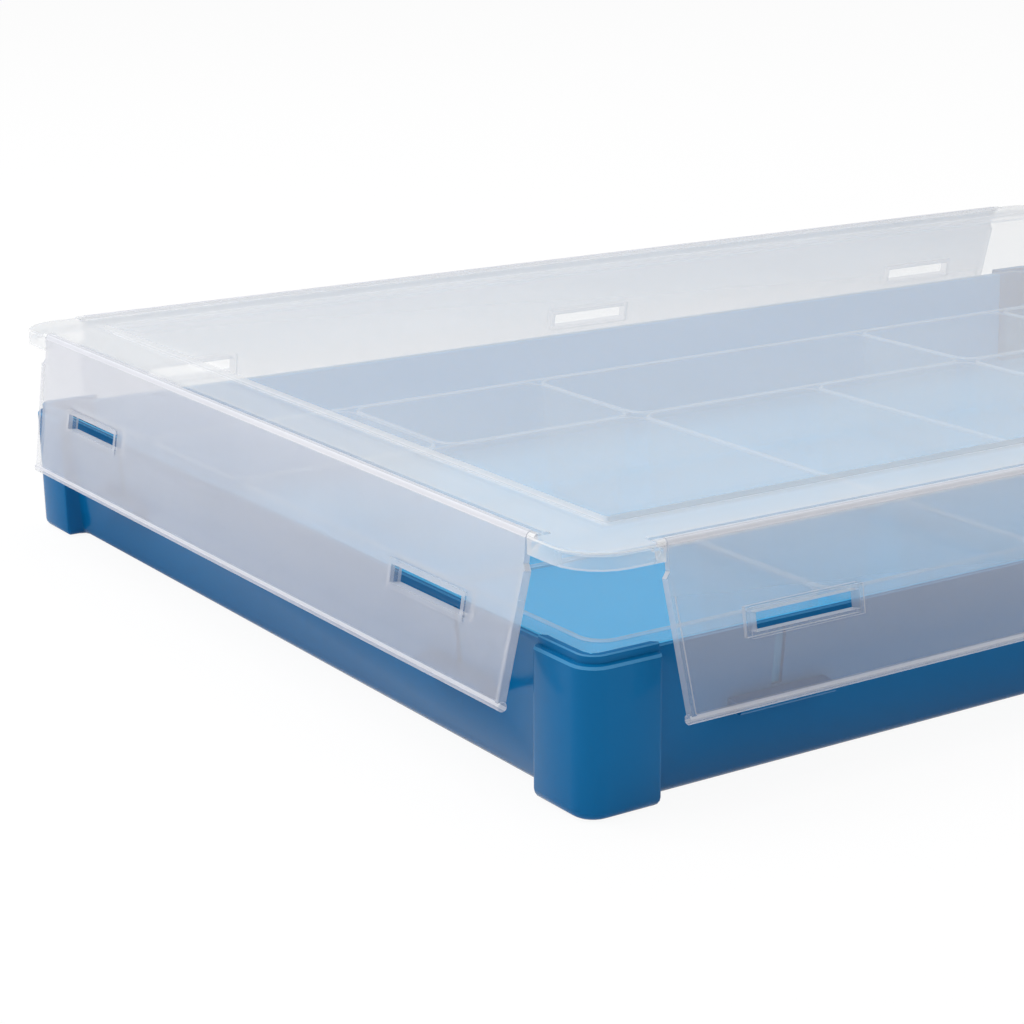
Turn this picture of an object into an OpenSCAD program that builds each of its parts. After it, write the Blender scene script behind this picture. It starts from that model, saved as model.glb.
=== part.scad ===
// Shallow assortment box: a tub with four corner posts, sixteen loose insert bins
// and a clear lid with a hinged locking flap on each side.
// Millimetres. X runs along the long side, Y along the short side and Z up.
// The origin is the centre of the footprint, on the table.
// The lid stands above the tub, as it does while the box is being opened.

/* [Bins] */
// Pitch of one bin unit along the long side
pitch_x = 66; // [62:0.5:70]
// Pitch of one bin unit along the short side
pitch_y = 53.9; // [50:0.1:58]
// Gap between neighbouring bins at the rim
bin_gap = 0.4; // [0.3:0.1:0.8]
// Height of a bin
bin_h = 35.8; // [32:0.1:37]
// Wall of a bin
bin_wall = 1.2; // [0.8:0.1:1.6]
// How far each side of a bin leans in from its rim to its floor
bin_draft = 2.4; // [1.8:0.1:3.2]
// Corner radius of a bin at the rim
bin_r = 6; // [4.5:0.5:8]
// Radius of the edge under a bin
bin_foot_r = 2.4; // [1.6:0.1:3]

/* [Tub] */
// Thickness of the tub floor
floor_t = 2.2; // [1.8:0.1:3]
// Wall of the tub
tub_wall = 2; // [1.8:0.1:2.4]
// Room between the bins and the tub wall on the left and the front
bin_room = 1.8; // [1.4:0.1:3]
// Spare room for the bins along the long side
play_x = 7; // [2:0.5:9]
// Spare room for the bins along the short side
play_y = 3; // [1:0.5:6]
// How far the tub wall leans in from its rim to its foot
wall_draft = 3.2; // [2:0.1:3.4]
// How far the wall rim lies below the bin rims
wall_drop = 1.8; // [1:0.1:2.2]
// Radius of the edge under the tub
foot_r = 2.2; // [1:0.1:3]

/* [Corner posts] */
// How far a post stands out of the wall at the rim
post_out = 2.8; // [2.6:0.1:3.6]
// Length of a post along each side
post_l = 20.4; // [17:0.2:21]
// Corner radius of a post
post_r = 6; // [5:0.5:9]
// How far a post leans in from its ledge to its foot
post_draft = 0.6; // [0.2:0.1:1.2]
// How far the stacking ledge of a post lies below the bin rims
ledge_drop = 2.5; // [2.2:0.1:3.5]
// Width of the stacking ledge
ledge_w = 1.5; // [1:0.1:1.6]
// How far the band inside the ledge lies below the bin rims
band_drop = 0.6; // [0.5:0.1:0.8]

/* [Lid] */
// How far the lid stands out past the posts
lid_over = 2.45; // [2.2:0.05:3]
// Thickness of the lid
lid_t = 1.6; // [1.2:0.1:1.8]
// Height of the lid rim at its corners
skirt_h = 4.2; // [3.6:0.1:4.3]
// Height of the lid rim behind a flap
apron_h = 2.4; // [2:0.1:2.4]
// Thickness of the lid rim
skirt_t = 1.6; // [1.2:0.1:1.8]
// Corner radius of the lid
lid_r = 12; // [9:0.5:14]
// Length of a lid corner, from the lid edge to the end of a flap
lid_corner = 21.2; // [20:0.1:26]
// Clearance between the closed lid and the bin rims
lid_gap = 0.3; // [0.2:0.1:1]
// Height of the lid above its closed place
lid_rise = 20.8; // [20.6:0.1:30]
// Distance from the lid edge to the raised panel
panel_in = 19.4; // [15:0.2:24]
// Width of the sloped border of the raised panel
panel_border = 3; // [2:0.5:6]
// Height of the raised panel above the lid
panel_h = 1.5; // [1:0.1:1.6]

/* [Flaps] */
// Angle at which the front flap stands open
front_tilt = 10.5; // [4:0.1:15]
// Angle at which the other flaps stand open
side_tilt = 9; // [4:0.1:15]
// Distance from the hinge axis to the middle of the bottom bead
flap_len = 38; // [36:0.1:38]
// Thickness of a flap
flap_t = 1.5; // [1.2:0.1:1.6]
// Clearance at each end of a flap
flap_gap = 0.4; // [0.3:0.1:1]
// How much wider a flap gets below its shoulder, at each end
flap_step = 1.1; // [0.6:0.1:1.6]
// How much each end of a flap draws in towards the bottom bead
flap_taper = 2.9; // [0:0.1:3.4]
// Radius of the hinge roll
roll_r = 1.2; // [1:0.05:1.2]
// Radius of a hinge pin
pin_r = 0.7; // [0.6:0.05:0.75]
// Radial clearance of a hinge pin in its bore
pin_play = 0.05; // [0.03:0.01:0.1]
// Distance from the lid edge in to the hinge axis
hinge_in = 1.5; // [1.5:0.1:1.6]
// Distance from the lid top down to the hinge axis
hinge_drop = 0.6; // [0.5:0.1:1]
// Radius of the bottom bead
bead_r = 1.1; // [0.9:0.05:1.1]
// Length of bead past each end of the flap
bead_out = 0.6; // [0.2:0.1:1]

/* [Windows and catches] */
// Width of a window
win_w = 29.4; // [22:0.2:32]
// Height of a window
win_h = 4.3; // [4:0.1:5]
// Distance from the hinge axis to the top of a window
win_s = 18.4; // [17.6:0.1:18.6]
// Distance of the outer windows from the middle of a long flap
win_x = 153; // [120:1:160]
// Distance of the windows from the middle of a short flap
win_y = 88.4; // [60:0.2:96]
// Width of the frame round a window
frame_w = 1.3; // [0.8:0.1:2]
// How far the frame stands in from the flap, towards the tub
frame_in = 1.1; // [0.6:0.1:1.4]
// How far the frame stands out from the flap
frame_out = 0.4; // [0.2:0.1:0.8]
// Clearance between a catch and the window edge it hooks over
catch_gap = 0.3; // [0.2:0.05:0.6]
// Thickness of a catch
catch_h = 2.4; // [1.8:0.1:2.5]
// Clearance at each end of a catch in its window
catch_side = 1; // [0.5:0.1:2]
// Width of the slot in the wall above a catch
slot_w = 3; // [2:0.1:5]
// Depth of the slot
slot_d = 0.9; // [0.5:0.1:1.1]

/* [Hidden] */
$fn = 48;
cols = 6;
rows = 5;

// Tub
block = [cols * pitch_x, rows * pitch_y];
play = [play_x, play_y];
bin_rim_z = floor_t + bin_h;
wall_rim_z = bin_rim_z - wall_drop;
ledge_z = bin_rim_z - ledge_drop;
band_z = bin_rim_z - band_drop;
wall_half = [for (k = [0, 1]) block[k] / 2 + bin_room + play[k] / 2 + tub_wall];
post_half = [for (k = [0, 1]) wall_half[k] + post_out];
bins_at = [for (k = [0, 1]) bin_room + tub_wall - wall_half[k]];

// Lid and hinges
lid_half = [for (k = [0, 1]) post_half[k] + lid_over];
lid_shut_z = bin_rim_z + lid_gap + lid_t;
lid_z = lid_shut_z + lid_rise;
lid_edge_r = 0.7;
roll_gap = 0.3;
recess = hinge_in + roll_r + roll_gap;
ridge_h = roll_r - hinge_drop;
knuckle_l = 2.3;
pin_l = 1;
hinge_half = [for (k = [0, 1]) lid_half[k] - hinge_in];
hinge_z = lid_z - hinge_drop;
hinge_shut_z = lid_shut_z - hinge_drop;

// Flap, measured outward from and down from the hinge axis
flap_in = -0.6;
flap_face = flap_in + flap_t;
flap_half = [for (k = [0, 1]) lid_half[k] - lid_corner - flap_gap];
shoulder_s = 4.3;
step_top = 6;
step_end = 7.4;
edge_w = 1.3;
edge_h = 0.5;
long_windows = [-win_x, 0, win_x];
short_windows = [-win_y, win_y];

// Catches, in the place that a closed flap's window takes
catch_z = hinge_shut_z - win_s - win_h + catch_gap;
catch_w = win_w - 2 * catch_side;
catch_hook = 1.2;
slot_drop = 1.8;
shoulder_h = 0.9;
shoulder_in = 0.45;

// Height or inset saved by the middle point of a rounded edge
mid = 1 - cos(45);

// Points of a quarter circle
function quarter_arc(cx, cy, r, n) =
    [for (i = [0:n]) [cx + r * cos(90 * i / n), cy + r * sin(90 * i / n)]];

// A ring made of a first quarter and its three mirror images, counted anticlockwise
function four(q) = let (n = len(q) - 1)
    concat(q,
           [for (i = [n:-1:0]) [-q[i][0], q[i][1], q[i][2]]],
           [for (i = [0:n]) [-q[i][0], -q[i][1], q[i][2]]],
           [for (i = [n:-1:0]) [q[i][0], -q[i][1], q[i][2]]]);

// Rounded rectangle at height z, half sizes h
function round_ring(h, r, z, n = 5) =
    four([for (p = quarter_arc(h[0] - r, h[1] - r, r, n)) [p[0], p[1], z]]);

// Outline with a bulge of length g round each corner: sides at w, corners at p.
// The sides lie at height zw and the corners at zp, and inset draws all of it in.
function bulge_ring(w, p, g, r, zw, zp, inset = 0, soft = 1.2) =
    let (wx = w[0] - inset, wy = w[1] - inset, px = p[0] - inset, py = p[1] - inset,
         ex = p[0] - g + inset, ey = p[1] - g + inset, step = p[0] - w[0],
         e = min(soft, step / 2 - 0.1), c = max(0.25, e - inset),
         f = min(e + inset, step - c - 0.1), arc_r = max(1, r - inset))
    four(concat(
        [[wx, ey - f, zw], [wx + mid * f, ey - mid * f, zw], [wx + f, ey, zw],
         [px - c, ey, zp], [px - mid * c, ey + mid * c, zp], [px, ey + c, zp]],
        [for (q = quarter_arc(px - arc_r, py - arc_r, arc_r, 6)) [q[0], q[1], zp]],
        [[ex + c, py, zp], [ex + mid * c, py - mid * c, zp], [ex, py - c, zp],
         [ex, wy + f, zw], [ex - mid * f, wy + mid * f, zw], [ex - f, wy, zw]]));

// Solid skin over a list of rings that all have as many points
module loft(rings) {
    n = len(rings[0]);
    last = (len(rings) - 1) * n;
    polyhedron(
        points = [for (r = rings) each r],
        faces = concat(
            [[for (i = [0:n - 1]) i]],
            [[for (i = [n - 1:-1:0]) last + i]],
            [for (k = [0:len(rings) - 2], i = [0:n - 1])
                let (a = k * n + i, b = k * n + (i + 1) % n)
                each [[a, a + n, b + n], [a, b + n, b]]]),
        convexity = 6);
}

// One insert bin, hollow, with drawn in sides and a rounded foot.
// The cell gives its first column, first row, width and depth in units.
module bin(cell) {
    pitch = [pitch_x, pitch_y];
    at = [for (k = [0, 1]) bins_at[k] + (cell[k] + cell[k + 2] / 2) * pitch[k]];
    half = [for (k = [0, 1]) (cell[k + 2] * pitch[k] - bin_gap) / 2];
    lean = bin_draft / bin_h;
    rim_r = 0.4;
    in_r = bin_foot_r - bin_wall / 2;
    steps = [[bin_draft + bin_foot_r, 0],
             [bin_draft + mid * bin_foot_r, mid * bin_foot_r],
             [bin_draft - lean * bin_foot_r, bin_foot_r],
             [lean * rim_r, bin_h - rim_r],
             [rim_r, bin_h],
             [bin_wall - rim_r / 2, bin_h],
             [bin_wall + bin_draft - lean * (in_r + bin_wall), in_r + bin_wall],
             [bin_wall + bin_draft + mid * in_r, bin_wall + mid * in_r],
             [bin_wall + bin_draft + in_r, bin_wall]];
    translate([at[0], at[1], floor_t])
        color([0.80, 0.88, 0.93, 0.6])
            loft([for (s = steps)
                round_ring([half[0] - s[0], half[1] - s[0]], max(1, bin_r - s[0] / 2), s[1])]);
}

// How far the wall and the post have leaned in at height z
function wall_lean(z) = wall_draft * (1 - z / wall_rim_z);
function post_lean(z) = post_draft * (1 - z / ledge_z);

// Outer skin of the tub at height z, drawn in by inset
function tub_ring(z, inset = 0) =
    bulge_ring([for (k = [0, 1]) wall_half[k] - wall_lean(z)],
               [for (k = [0, 1]) post_half[k] - post_lean(z)],
               post_l, post_r, z, z, inset);

// Ring above the stacking ledge, with the wall at height zw and the band at zp
function rim_ring(zw, zp, inset = 0) =
    bulge_ring([for (k = [0, 1]) wall_half[k] - wall_lean(zw)],
               [for (k = [0, 1]) post_half[k] - ledge_w],
               post_l - ledge_w, post_r - ledge_w, zw, zp, inset);

// Inner skin of the tub, which follows the wall and the hollow posts down
function inner_ring(z, inset) =
    bulge_ring([for (k = [0, 1]) wall_half[k] - wall_lean(z)],
               [for (k = [0, 1]) post_half[k] - ledge_w - post_lean(z)],
               post_l - ledge_w, post_r - ledge_w, z, z, inset);

// How far in the wall's outer face stands at height z
function wall_face(k, z) = wall_half[k] - wall_lean(z);

// A catch, for a wall that faces +Y, in the middle of that side.
// Its tip reaches into the window frame of the closed flap.
module catch(k) {
    root = wall_face(k, catch_z) - 1;
    tip = hinge_half[k] + flap_in - frame_in + catch_hook;
    top = catch_z + catch_h;
    translate([-catch_w / 2, 0, 0])
        rotate([90, 0, 90])
            linear_extrude(catch_w)
                polygon([[root, catch_z - 1.6], [tip - catch_hook - 0.8, catch_z],
                         [tip - 0.4, catch_z], [tip, catch_z + 0.5], [tip, top - 0.9],
                         [tip - 0.9, top], [root, top + 0.4]]);
}

// Slot in the wall above a catch, with a round top
module catch_slot(k) {
    low = catch_z + catch_h + 1;
    high = wall_rim_z - slot_drop - slot_w / 2;
    lean = atan(wall_draft / wall_rim_z);
    translate([0, wall_face(k, low) - slot_d, low])
        rotate([-lean - 90, 0, 0])
            mirror([0, 1, 0])
                linear_extrude(slot_d + 2)
                    union() {
                        translate([-slot_w / 2, 0]) square([slot_w, high - low]);
                        translate([0, high - low]) circle(d = slot_w);
                    }
}

// Something made for the +Y side, repeated at the places of the windows on all four sides
module at_windows() {
    for (turn = [0, 180], x = long_windows) rotate([0, 0, turn]) translate([x, 0, 0]) children(0);
    for (turn = [90, -90], x = short_windows) rotate([0, 0, turn]) translate([x, 0, 0]) children(1);
}

// Ring on the rounded shoulder of the posts
function shoulder_ring(z, in) =
    bulge_ring([for (k = [0, 1]) wall_face(k, z)],
               [for (k = [0, 1]) post_half[k] - post_lean(z) - in],
               post_l - in, post_r - in, z, z);

// The tub with its posts, rims, catches and slots
module tub() {
    color([0.20, 0.45, 0.70]) {
        difference() {
            loft([for (a = [0:22.5:90]) tub_ring(foot_r * (1 - cos(a)), foot_r * (1 - sin(a))),
                  tub_ring(ledge_z - shoulder_h),
                  shoulder_ring(ledge_z - shoulder_h / 3, shoulder_in),
                  rim_ring(ledge_z + 0.3, ledge_z),
                  rim_ring(wall_rim_z - 0.3, band_z - 0.3), rim_ring(wall_rim_z, band_z, 0.3),
                  rim_ring(wall_rim_z, band_z, tub_wall - 0.3),
                  rim_ring(wall_rim_z - 0.3, band_z - 0.3, tub_wall),
                  inner_ring(floor_t + 1.2, tub_wall), inner_ring(floor_t + 0.3, tub_wall + 0.4),
                  inner_ring(floor_t, tub_wall + 1.2)]);
            at_windows() {
                catch_slot(1);
                catch_slot(0);
            }
        }
        at_windows() {
            catch(1);
            catch(0);
        }
    }
}

// Outline of the lid, drawn in by inset, with the sides at zw and the corners at zp
function lid_ring(zw, zp, inset = 0) =
    bulge_ring([for (k = [0, 1]) lid_half[k] - recess], lid_half, lid_corner, lid_r,
               zw, zp, inset, 0.5);

// Outline of the raised panel, drawn in by inset from the lid edge
function panel_ring(inset, r, z) =
    round_ring([for (k = [0, 1]) lid_half[k] - inset], r, z, 18);

// Ridge and knuckles beside the hinge of one flap, for a side that faces +Y
module hinge_ridge(k, l) {
    end = lid_half[l] - lid_corner;
    reach = end + knuckle_l;
    edge = lid_half[k] - recess - 0.1;
    translate([-reach, 0, lid_z])
        rotate([90, 0, 90])
            linear_extrude(2 * reach)
                polygon([[edge, -1], [edge, ridge_h], [edge - 1.2, ridge_h],
                         [edge - 1.8, 0], [edge - 1.9, -1]]);
    for (s = [-1, 1])
        translate([s > 0 ? end - 0.05 : -reach, hinge_half[k], hinge_z])
            hull() {
                rotate([0, 90, 0]) cylinder(h = knuckle_l + 0.05, r = roll_r);
                translate([0, -roll_r, -roll_r - 0.4])
                    cube([knuckle_l + 0.05, 2 * roll_r, roll_r]);
            }
}

// Bores for the hinge pins of one flap, for a side that faces +Y
module hinge_bores(k, l) {
    end = lid_half[l] - lid_corner;
    depth = pin_l + 0.4;
    for (s = [-1, 1])
        translate([s > 0 ? end - 1 : -end - depth, hinge_half[k], hinge_z])
            rotate([0, 90, 0]) cylinder(h = depth + 1, r = pin_r + pin_play);
}

// Put something made for the +Y side on one of the four sides
module on_side(side) {
    turn = side == "back" ? 0 : side == "left" ? 90 : side == "front" ? 180 : -90;
    rotate([0, 0, turn]) children();
}

// The lid with its raised panel, corner rims and hinge ridges
module lid() {
    r = lid_edge_r;
    color([0.93, 0.93, 0.97, 0.55])
        difference() {
            union() {
                loft([panel_ring(panel_in + panel_border + lid_t, 4, lid_z - lid_t + panel_h),
                      panel_ring(panel_in + lid_t + 0.4, 1.5, lid_z - lid_t + panel_h - 0.4),
                      panel_ring(panel_in + lid_t, 1.5, lid_z - lid_t),
                      lid_ring(lid_z - lid_t, lid_z - lid_t, skirt_t),
                      lid_ring(lid_z - apron_h, lid_z - skirt_h, skirt_t - 0.1),
                      lid_ring(lid_z - apron_h, lid_z - skirt_h, 0),
                      lid_ring(lid_z - r, lid_z - r, 0),
                      lid_ring(lid_z - mid * r, lid_z - mid * r, mid * r),
                      lid_ring(lid_z, lid_z, r),
                      panel_ring(panel_in, 1.2, lid_z),
                      panel_ring(panel_in + 0.4, 1.2, lid_z + panel_h - 0.4),
                      panel_ring(panel_in + panel_border, 4, lid_z + panel_h)]);
                for (side = ["front", "back"]) on_side(side) hinge_ridge(1, 0);
                for (side = ["left", "right"]) on_side(side) hinge_ridge(0, 1);
            }
            for (side = ["front", "back"]) on_side(side) hinge_bores(1, 0);
            for (side = ["left", "right"]) on_side(side) hinge_bores(0, 1);
        }
}

// Frame round a window, before the window is cut
module window_frame() {
    translate([-win_w / 2 - frame_w, flap_in - frame_in, -win_s - win_h - frame_w])
        cube([win_w + 2 * frame_w, frame_in + flap_t + frame_out, win_h + 2 * frame_w]);
}

// Flap of half length half, hanging from the hinge axis, with +Y outward
module flap(half, windows) {
    wide = half + flap_step;
    low = wide - flap_taper;
    pin_reach = half + flap_gap + pin_l;
    color([0.92, 0.92, 0.97, 0.6]) {
        translate([-half, 0, 0]) rotate([0, 90, 0]) cylinder(h = 2 * half, r = roll_r);
        translate([-pin_reach, 0, 0]) rotate([0, 90, 0]) cylinder(h = 2 * pin_reach, r = pin_r);
        translate([-half, 0, 0])
            rotate([90, 0, 90])
                linear_extrude(2 * half)
                    polygon([[flap_in, 0], [1, 0.3], [1.4, -0.3], [flap_face, -shoulder_s],
                             [flap_in, -shoulder_s]]);
        difference() {
            union() {
                translate([0, flap_face, 0])
                    rotate([90, 0, 0])
                        linear_extrude(flap_t)
                            polygon([[-half, -1], [half, -1], [half, -step_top],
                                     [wide, -step_end], [low, -flap_len], [-low, -flap_len],
                                     [-wide, -step_end], [-half, -step_top]]);
                for (m = [0, 1])
                    mirror([m, 0, 0])
                        translate([0, flap_face + edge_h, 0])
                            rotate([90, 0, 0])
                                linear_extrude(edge_h + 0.5)
                                    polygon([[wide, -step_end], [low, -flap_len],
                                             [low - edge_w, -flap_len],
                                             [wide - edge_w, -step_end - 0.6]]);
                for (x = windows) translate([x, 0, 0]) window_frame();
            }
            for (x = windows)
                translate([x - win_w / 2, flap_in - frame_in - 1, -win_s - win_h])
                    cube([win_w, frame_in + flap_t + frame_out + 2, win_h]);
        }
        translate([-low - bead_out, flap_in + bead_r, -flap_len])
            rotate([0, 90, 0]) cylinder(h = 2 * (low + bead_out), r = bead_r);
    }
}

// A flap in its place on one side, k across the side and l along it
module hung_flap(side, k, l, tilt, windows) {
    on_side(side)
        translate([0, hinge_half[k], hinge_z])
            rotate([tilt, 0, 0]) flap(flap_half[l], windows);
}

tub();
bin([0, 0, 1, 1]);  // bin_front_1
bin([1, 0, 1, 1]);  // bin_front_2
bin([2, 0, 1, 1]);  // bin_front_3
bin([3, 0, 1, 1]);  // bin_front_4
bin([4, 0, 1, 1]);  // bin_front_5
bin([5, 0, 1, 1]);  // bin_front_6
bin([0, 1, 2, 2]);  // bin_deep_1
bin([2, 1, 1, 2]);  // bin_deep_2
bin([3, 1, 1, 2]);  // bin_deep_3
bin([4, 1, 2, 2]);  // bin_deep_4
bin([0, 3, 1, 1]);  // bin_back_1
bin([1, 3, 1, 1]);  // bin_back_2
bin([2, 3, 2, 1]);  // bin_back_3
bin([4, 3, 1, 1]);  // bin_back_4
bin([5, 3, 1, 1]);  // bin_back_5
bin([0, 4, 6, 1]);  // bin_long
lid();
hung_flap("front", 1, 0, front_tilt, long_windows);  // flap_front
hung_flap("back", 1, 0, side_tilt, long_windows);  // flap_back
hung_flap("left", 0, 1, side_tilt, short_windows);  // flap_left
hung_flap("right", 0, 1, side_tilt, short_windows);  // flap_right
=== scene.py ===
import math

import bmesh
import bpy
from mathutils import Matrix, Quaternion, Vector


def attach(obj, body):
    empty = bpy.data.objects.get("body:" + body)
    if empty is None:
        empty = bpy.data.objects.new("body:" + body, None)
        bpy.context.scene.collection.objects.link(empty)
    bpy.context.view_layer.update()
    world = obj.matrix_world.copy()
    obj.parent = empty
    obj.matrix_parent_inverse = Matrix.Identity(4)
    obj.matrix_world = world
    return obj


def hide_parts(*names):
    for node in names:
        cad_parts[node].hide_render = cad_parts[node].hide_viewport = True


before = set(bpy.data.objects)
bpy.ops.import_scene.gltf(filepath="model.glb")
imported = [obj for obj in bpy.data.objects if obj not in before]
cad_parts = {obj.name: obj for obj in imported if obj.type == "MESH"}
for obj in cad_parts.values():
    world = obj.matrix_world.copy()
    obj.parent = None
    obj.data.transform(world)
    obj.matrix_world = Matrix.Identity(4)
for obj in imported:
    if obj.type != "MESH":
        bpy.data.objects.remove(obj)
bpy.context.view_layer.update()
print("frame loaded")


def linearColor(code):
    parts = [int(code[i:i + 2], 16) / 255 for i in (1, 3, 5)]
    linear = [c / 12.92 if c <= 0.04045 else ((c + 0.055) / 1.055) ** 2.4 for c in parts]
    return (*linear, 1.0)


def newMaterial(name):
    material = bpy.data.materials.new(name)
    material.use_nodes = True
    material.node_tree.nodes.clear()
    return material, material.node_tree


def addNode(tree, kind, values=None, **settings):
    node = tree.nodes.new(kind)
    for name, value in settings.items():
        setattr(node, name, value)
    for socket, value in (values or {}).items():
        if isinstance(value, bpy.types.NodeSocket):
            tree.links.new(value, node.inputs[socket])
        else:
            node.inputs[socket].default_value = value
    return node


# What all the moulded plastics share
mould = {
    "grainDetail": 2.0,
    "grainHeight": 0.0002,  # metres that the bump takes as its full height
    "cloudDetail": 3.0,
    "edgeSlope": 0.55,  # upward part of the normal in the middle of a turned edge
}


def mouldGrain(tree, place, look):
    # Fine grain of the mould, as a bump
    grain = addNode(tree, "ShaderNodeTexNoise", {
        "Vector": place, "Scale": 1 / look["grainSize"], "Detail": mould["grainDetail"]})
    bump = addNode(tree, "ShaderNodeBump", {
        "Height": grain.outputs["Fac"], "Strength": look["grainDepth"],
        "Distance": mould["grainHeight"]})
    return bump.outputs["Normal"]


def paintedEdgeHighlight(tree, facing, look, strength):
    # A painted highlight line where the skin turns over an edge: full in its core, gone at its end
    up = addNode(tree, "ShaderNodeSeparateXYZ", {"Vector": facing})
    steep = addNode(tree, "ShaderNodeMath", {
        0: up.outputs["Z"], 1: mould["edgeSlope"]}, operation="SUBTRACT")
    away = addNode(tree, "ShaderNodeMath", {0: steep.outputs["Value"]}, operation="ABSOLUTE")
    line = addNode(tree, "ShaderNodeMapRange", {
        "Value": away.outputs["Value"], "From Min": look["lineEnd"],
        "From Max": look["lineCore"], "To Max": strength})
    return line.outputs["Result"]


def pastSides(tree, place, half):
    # How far a point lies outside an upright box of this half size about the middle
    size = addNode(tree, "ShaderNodeVectorMath", {0: place}, operation="ABSOLUTE")
    past = addNode(tree, "ShaderNodeVectorMath", {
        0: size.outputs["Vector"], 1: (*half, 0.0)}, operation="SUBTRACT")
    sides = addNode(tree, "ShaderNodeSeparateXYZ", {"Vector": past.outputs["Vector"]})
    most = addNode(tree, "ShaderNodeMath", {
        0: sides.outputs["X"], 1: sides.outputs["Y"]}, operation="MAXIMUM")
    return most.outputs["Value"]


# Injection moulded polypropylene, opaque blue: a soft gloss with a faint flow pattern,
# and a painted glow: the inside is painted a lighter blue for light shining through the thin walls
tubLook = {
    "color": "#0b6da5",
    "deepColor": "#096298",
    # painted glow of light through the thin walls, put on the inside
    "paintedGlowColor": "#4fb7e6",
    # painted highlight along the rims and ledges
    "paintedHighlightColor": "#6fb9e6",
    "highlightShare": 0.4,  # of the painted highlight colour in the lines along rims and ledges
    "highlightHeight": 0.0335,  # the painted highlight lines start here
    "highlightFade": 0.001,
    "lineEnd": 0.36,
    "lineCore": 0.24,
    "wallFoot": (0.2011, 0.13585),  # half size of the tub to the middle of its wall, at the foot
    "wallLean": 0.0884,
    "wallBlend": 0.0002,
    "flowSize": 0.070,  # metres across one cloud of the flow pattern
    "grainSize": 0.0012,  # coarser than the real 0.2 mm grain, so that it shows
    "grainDepth": 0.02,
    "roughness": 0.15,
    "specular": 0.08,
}


def tubMaterial():
    material, tree = newMaterial("bluePolypropylene")
    coords = addNode(tree, "ShaderNodeTexCoord")
    place = coords.outputs["Object"]
    height = addNode(tree, "ShaderNodeSeparateXYZ", {"Vector": place}).outputs["Z"]
    flow = addNode(tree, "ShaderNodeTexNoise", {
        "Vector": place, "Scale": 1 / tubLook["flowSize"], "Detail": mould["cloudDetail"]})
    skin = addNode(tree, "ShaderNodeMix", {
        "Factor": flow.outputs["Fac"], "A": linearColor(tubLook["color"]),
        "B": linearColor(tubLook["deepColor"])}, data_type="RGBA")
    # Painted glow: the inside, all that lies within the middle of the leaning wall, is painted
    # lighter
    lean = addNode(tree, "ShaderNodeMath", {
        0: height, 1: -tubLook["wallLean"],
        2: pastSides(tree, place, tubLook["wallFoot"])}, operation="MULTIPLY_ADD")
    inner = addNode(tree, "ShaderNodeMapRange", {
        "Value": lean.outputs["Value"], "From Min": tubLook["wallBlend"],
        "From Max": -tubLook["wallBlend"]})
    inside = addNode(tree, "ShaderNodeMix", {
        "Factor": inner.outputs["Result"], "A": skin.outputs["Result"],
        "B": linearColor(tubLook["paintedGlowColor"])}, data_type="RGBA")
    # Painted highlight: lighter lines where the rims and ledges turn over
    high = addNode(tree, "ShaderNodeMapRange", {
        "Value": height, "From Min": tubLook["highlightHeight"],
        "From Max": tubLook["highlightHeight"] + tubLook["highlightFade"]})
    edge = addNode(tree, "ShaderNodeMath", {
        0: paintedEdgeHighlight(tree, coords.outputs["Normal"], tubLook, tubLook["highlightShare"]),
        1: high.outputs["Result"]}, operation="MULTIPLY")
    highlighted = addNode(tree, "ShaderNodeMix", {
        "Factor": edge.outputs["Value"], "A": inside.outputs["Result"],
        "B": linearColor(tubLook["paintedHighlightColor"])}, data_type="RGBA")
    shader = addNode(tree, "ShaderNodeBsdfPrincipled", {
        "Base Color": highlighted.outputs["Result"], "Roughness": tubLook["roughness"],
        "Specular IOR Level": tubLook["specular"], "Normal": mouldGrain(tree, place, tubLook)})
    addNode(tree, "ShaderNodeOutputMaterial", {"Surface": shader.outputs["BSDF"]})
    return material


# Clear polystyrene: almost no haze, with a painted highlight along the rim for the light it
# gathers
binLook = {
    "color": "#deebf4",
    "hazeColor": "#cfe2f0",
    "alpha": 0.02,
    "edgeAlpha": 0.15,
    "rimHighlightAlpha": 0.30,
    "rimLow": 0.0373,  # the painted rim highlight starts here and is full at rimHigh
    "rimHigh": 0.0376,
    "grainSize": 0.0016,
    "grainDepth": 0.015,
    "roughness": 0.16,
}

# Clear polypropylene, polished mould: light haze, painted white highlight lines where the skin
# turns
lidLook = {
    "color": "#f8f8f9",
    "hazeColor": "#eceef1",
    "alpha": 0.09,
    "edgeAlpha": 0.50,
    "rimHighlightAlpha": 0.45,
    "lineEnd": 0.35,
    "lineCore": 0.28,
    "borderAlpha": 0.10,  # the border is milkier than the raised panel
    "borderFade": 0.004,
    "panelHalf": (0.19115, 0.1259),
    "grainSize": 0.0016,
    "grainDepth": 0.012,
    "roughness": 0.14,
}

# The same polypropylene from an etched mould: a milky, satin look
flapLook = {
    "color": "#e6e7ed",
    "hazeColor": "#d9dbe3",
    "alpha": 0.03,
    "edgeAlpha": 0.86,
    "rimHighlightAlpha": 0.45,
    "lineEnd": 0.35,
    "lineCore": 0.28,
    "paintedTopLight": 0.22,  # painted light: whiter towards the hinge, where light falls in from the lid's edge
    "topHeight": 0.060,
    "lowHeight": 0.028,
    "grainSize": 0.0010,
    "grainDepth": 0.03,
    "roughness": 0.30,
}

# The haze of the clear plastics
haze = {
    "cloudsPerMetre": 18.0,
    "facingBlend": 0.35,  # how early a surface counts as seen edge on
}


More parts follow.
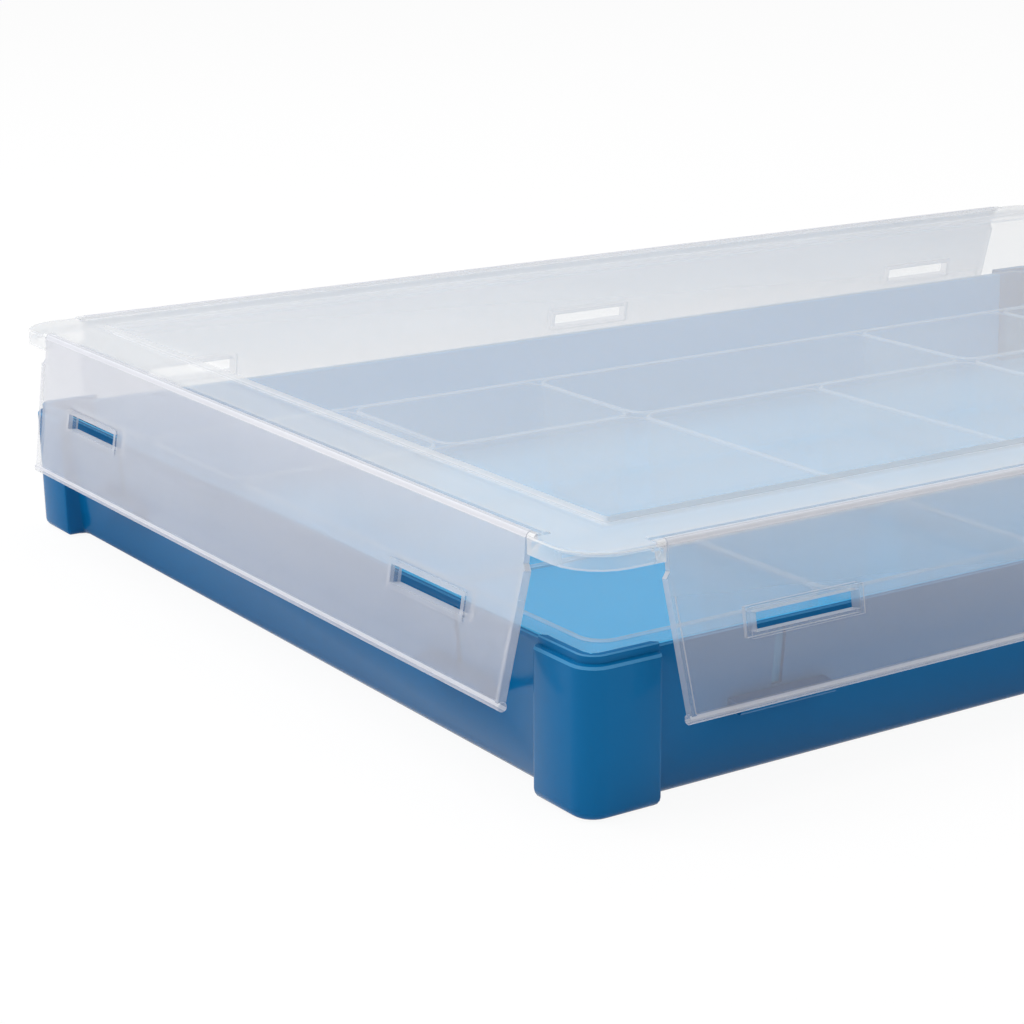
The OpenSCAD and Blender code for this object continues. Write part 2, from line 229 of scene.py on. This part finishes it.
def clearMaterial(name, look):
    material, tree = newMaterial(name)
    coords = addNode(tree, "ShaderNodeTexCoord")
    place = coords.outputs["Object"]
    height = addNode(tree, "ShaderNodeSeparateXYZ", {"Vector": place}).outputs["Z"]
    clouds = addNode(tree, "ShaderNodeTexNoise", {
        "Vector": place, "Scale": haze["cloudsPerMetre"], "Detail": mould["cloudDetail"]})
    tint = addNode(tree, "ShaderNodeMix", {
        "Factor": clouds.outputs["Fac"], "A": linearColor(look["color"]),
        "B": linearColor(look["hazeColor"])}, data_type="RGBA")
    turned = addNode(tree, "ShaderNodeLayerWeight", {"Blend": haze["facingBlend"]})
    cover = addNode(tree, "ShaderNodeMapRange", {
        "Value": turned.outputs["Facing"], "To Min": look["alpha"], "To Max": look["edgeAlpha"]})
    # Painted highlights: light gathers in the rim of a bin, and where the skin of lid and flaps
    # turns over an edge, so there the white covers more
    if "rimLow" in look:
        rim = addNode(tree, "ShaderNodeMapRange", {
            "Value": height, "From Min": look["rimLow"], "From Max": look["rimHigh"],
            "To Max": look["rimHighlightAlpha"]})
        hazeAndPaintedLight = rim.outputs["Result"]
    else:
        hazeAndPaintedLight = paintedEdgeHighlight(tree, coords.outputs["Normal"], look, look["rimHighlightAlpha"])
    if "borderAlpha" in look:
        border = addNode(tree, "ShaderNodeMapRange", {
            "Value": pastSides(tree, place, look["panelHalf"]), "From Min": 0.0,
            "From Max": look["borderFade"], "To Max": look["borderAlpha"]})
        hazeAndPaintedLight = addNode(tree, "ShaderNodeMath", {
            0: hazeAndPaintedLight, 1: border.outputs["Result"]}).outputs["Value"]
    # Painted light: the flaps are whiter towards the hinge
    if "paintedTopLight" in look:
        topLight = addNode(tree, "ShaderNodeMapRange", {
            "Value": height, "From Min": look["lowHeight"], "From Max": look["topHeight"],
            "To Max": look["paintedTopLight"]})
        hazeAndPaintedLight = addNode(tree, "ShaderNodeMath", {
            0: hazeAndPaintedLight, 1: topLight.outputs["Result"]}).outputs["Value"]
    alpha = addNode(tree, "ShaderNodeMath", {0: cover.outputs["Result"], 1: hazeAndPaintedLight}, use_clamp=True)
    shader = addNode(tree, "ShaderNodeBsdfPrincipled", {
        "Base Color": tint.outputs["Result"], "Roughness": look["roughness"],
        "Alpha": alpha.outputs["Value"], "Normal": mouldGrain(tree, place, look)})
    addNode(tree, "ShaderNodeOutputMaterial", {"Surface": shader.outputs["BSDF"]})
    return material


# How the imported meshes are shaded
shading = {
    "mergeWithin": 0.00001,
    "sharpAngle": math.radians(32),
    "levelNormal": 0.9999,  # upward part of a normal from which a face counts as level
    "levelShare": 0.25,  # an edge with more level faces than this beside it is sharp
}


def softEdges():
    # Smooths the shading of a mesh and keeps its sharp edges sharp. No point moves.
    group = bpy.data.node_groups.new("softEdges", "GeometryNodeTree")
    for way in ("INPUT", "OUTPUT"):
        group.interface.new_socket("Geometry", in_out=way, socket_type="NodeSocketGeometry")
    start = addNode(group, "NodeGroupInput")
    plain = addNode(group, "GeometryNodeRemoveAttribute", {
        "Geometry": start.outputs[0], "Name": "custom_normal"})
    merge = addNode(group, "GeometryNodeMergeByDistance", {
        "Geometry": plain.outputs[0], "Distance": shading["mergeWithin"]})
    smooth = addNode(group, "GeometryNodeSetShadeSmooth", {"Geometry": merge.outputs[0]})
    angle = addNode(group, "GeometryNodeInputMeshEdgeAngle")
    sharp = addNode(group, "FunctionNodeCompare", {
        "A": angle.outputs[0], "B": shading["sharpAngle"]})
    # Level faces keep their own normal too, so that a wide floor isn't shaded round
    normal = addNode(group, "GeometryNodeInputNormal")
    up = addNode(group, "ShaderNodeSeparateXYZ", {0: normal.outputs[0]})
    steep = addNode(group, "ShaderNodeMath", {0: up.outputs["Z"]}, operation="ABSOLUTE")
    level = addNode(group, "ShaderNodeMath", {
        0: steep.outputs[0], 1: shading["levelNormal"]}, operation="GREATER_THAN")
    beside = addNode(group, "GeometryNodeFieldOnDomain", {
        0: level.outputs[0]}, domain="FACE", data_type="FLOAT")
    flat = addNode(group, "FunctionNodeCompare", {
        "A": beside.outputs[0], "B": shading["levelShare"]})
    either = addNode(group, "FunctionNodeBooleanMath", {
        0: sharp.outputs[0], 1: flat.outputs[0]}, operation="OR")
    crease = addNode(group, "GeometryNodeSetShadeSmooth", {
        "Geometry": smooth.outputs[0], "Selection": either.outputs[0],
        "Shade Smooth": False}, domain="EDGE")
    addNode(group, "NodeGroupOutput", {0: crease.outputs[0]})
    return group


# The two wide level faces of the tub that are filled afresh
tubFaces = {
    "drops": {0.0: 0.0, 0.0022: 0.00008},  # height of underside and floor: how far it is lowered
    "mergeWithin": 0.000001,
    "levelWithin": 0.00001,
    "levelNormal": 0.9,
}


def makeTub():
    # The CAD mesh folds a few thin triangles over each other in these two faces, which draws
    # hairlines, so the tub is shown as a copy. Its floor lies a hair lower, because it and the
    # clear underside of a bin can't be seen in one place.
    shell = bmesh.new()
    shell.from_mesh(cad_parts["tub"].data)
    bmesh.ops.remove_doubles(shell, verts=shell.verts, dist=tubFaces["mergeWithin"])
    for level, drop in tubFaces["drops"].items():
        flat = [face for face in shell.faces if abs(face.normal.z) > tubFaces["levelNormal"]
                and all(abs(v.co.z - level) < tubFaces["levelWithin"] for v in face.verts)]
        bmesh.ops.delete(shell, geom=flat, context="FACES")
        rim = [edge for edge in shell.edges if edge.is_boundary]
        filled = bmesh.ops.triangle_fill(shell, edges=rim, use_beauty=True)["geom"]
        faces = [face for face in filled if isinstance(face, bmesh.types.BMFace)]
        for vert in {v for face in faces for v in face.verts}:
            vert.co.z -= drop
    bmesh.ops.recalc_face_normals(shell, faces=shell.faces)
    mesh = bpy.data.meshes.new("tubShell")
    shell.to_mesh(mesh)
    shell.free()
    piece = bpy.data.objects.new("tubShell", mesh)
    bpy.context.scene.collection.objects.link(piece)
    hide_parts("tub")
    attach(piece, "tub")
    return piece


def dressNodes():
    looks = {
        "tub": tubMaterial(),
        "bin": clearMaterial("clearPolystyrene", binLook),
        "lid": clearMaterial("polishedPolypropylene", lidLook),
        "flap": clearMaterial("etchedPolypropylene", flapLook),
    }
    group = softEdges()
    pieces = dict(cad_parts, tub=makeTub())
    for name, node in pieces.items():
        node.data.materials.clear()
        node.data.materials.append(looks[name.split("_")[0]])
        modifier = node.modifiers.new("softEdges", "NODES")
        modifier.node_group = group


# A white surround and a pale floor that glows almost plain white to the camera
studio = {
    "white": (1.0, 1.0, 1.0, 1.0),
    "worldLight": 0.47,
    "floorColor": "#fbfbfc",
    "floorSize": 60.0,
    "floorGap": 0.0002,  # below the box
    "floorGlow": 0.93,  # share of the floor that shows plain white
}


def floorMaterial():
    material, tree = newMaterial("paleFloor")
    matte = addNode(tree, "ShaderNodeBsdfDiffuse", {"Color": linearColor(studio["floorColor"])})
    glow = addNode(tree, "ShaderNodeEmission", {"Color": studio["white"], "Strength": 1.0})
    rays = addNode(tree, "ShaderNodeLightPath")
    seen = addNode(tree, "ShaderNodeMath", {
        0: rays.outputs["Is Camera Ray"], 1: rays.outputs["Is Glossy Ray"]}, operation="MAXIMUM")
    share = addNode(tree, "ShaderNodeMath", {
        0: seen.outputs["Value"], 1: studio["floorGlow"]}, operation="MULTIPLY")
    mix = addNode(tree, "ShaderNodeMixShader", {
        "Fac": share.outputs["Value"], 1: matte.outputs["BSDF"], 2: glow.outputs["Emission"]})
    addNode(tree, "ShaderNodeOutputMaterial", {"Surface": mix.outputs["Shader"]})
    return material


def buildFloor():
    half = studio["floorSize"] / 2
    mesh = bpy.data.meshes.new("floor")
    corners = [(-half, -half, 0), (half, -half, 0), (half, half, 0), (-half, half, 0)]
    mesh.from_pydata(corners, [], [(0, 1, 2, 3)])
    floor = bpy.data.objects.new("floor", mesh)
    floor.location.z = -studio["floorGap"]
    bpy.context.scene.collection.objects.link(floor)
    mesh.materials.append(floorMaterial())


def buildWorld():
    world = bpy.data.worlds.new("studio")
    world.use_nodes = True
    tree = world.node_tree
    tree.nodes.clear()
    light = addNode(tree, "ShaderNodeBackground", {
        "Color": studio["white"], "Strength": studio["worldLight"]})
    seen = addNode(tree, "ShaderNodeBackground", {"Color": studio["white"], "Strength": 1.0})
    rays = addNode(tree, "ShaderNodeLightPath")
    mix = addNode(tree, "ShaderNodeMixShader", {
        "Fac": rays.outputs["Is Camera Ray"], 1: light.outputs["Background"],
        2: seen.outputs["Background"]})
    addNode(tree, "ShaderNodeOutputWorld", {"Surface": mix.outputs["Shader"]})
    bpy.context.scene.world = world


# Soft square lamps, in metres and watts, all turned to the middle of the box
lamps = {
    "keyLamp": {"place": (-0.9, 0.5, 1.6), "watts": 21.0, "size": 1.4},
    "fillLamp": {"place": (0.9, -1.5, 0.9), "watts": 2.5, "size": 1.2},
    "topLamp": {"place": (0.2, 0.5, 1.8), "watts": 8.0, "size": 1.0},
}


def addLamp(name, look):
    lamp = bpy.data.lights.new(name, "AREA")
    lamp.energy = look["watts"]
    lamp.size = look["size"]
    holder = bpy.data.objects.new(name, lamp)
    holder.location = look["place"]
    holder.rotation_mode = "QUATERNION"
    holder.rotation_quaternion = (-Vector(look["place"])).to_track_quat("-Z", "Y")
    bpy.context.scene.collection.objects.link(holder)


# The photo's camera, fitted to the straight edges of lid, flaps and tub
camera = {
    "place": (-0.49065, -0.53497, 0.20619),
    "turn": 33.95,  # degrees from +Y towards +X
    "down": 15.78,
    "roll": -0.10,
    "lens": 86.66,
    "filmWidth": 36.0,
    "nearest": 0.01,
    "farthest": 30,
}


def addCamera():
    data = bpy.data.cameras.new("camera")
    data.lens = camera["lens"]
    data.sensor_width = camera["filmWidth"]
    data.clip_start = camera["nearest"]
    data.clip_end = camera["farthest"]
    turn, down, roll = (math.radians(camera[name]) for name in ("turn", "down", "roll"))
    ahead = Vector((
        math.sin(turn) * math.cos(down), math.cos(turn) * math.cos(down), -math.sin(down)))
    holder = bpy.data.objects.new("camera", data)
    holder.location = camera["place"]
    holder.rotation_mode = "QUATERNION"
    holder.rotation_quaternion = ahead.to_track_quat("-Z", "Y") @ Quaternion((0, 0, 1), roll)
    bpy.context.scene.collection.objects.link(holder)
    bpy.context.scene.camera = holder


clearLayers = 32  # lid, flaps and bins lie many clear layers deep

dressNodes()
print("materials on")
buildFloor()
buildWorld()
for name, look in lamps.items():
    addLamp(name, look)
addCamera()
bpy.context.scene.view_settings.view_transform = "Standard"
bpy.context.scene.cycles.transparent_max_bounces = clearLayers
print("studio set")
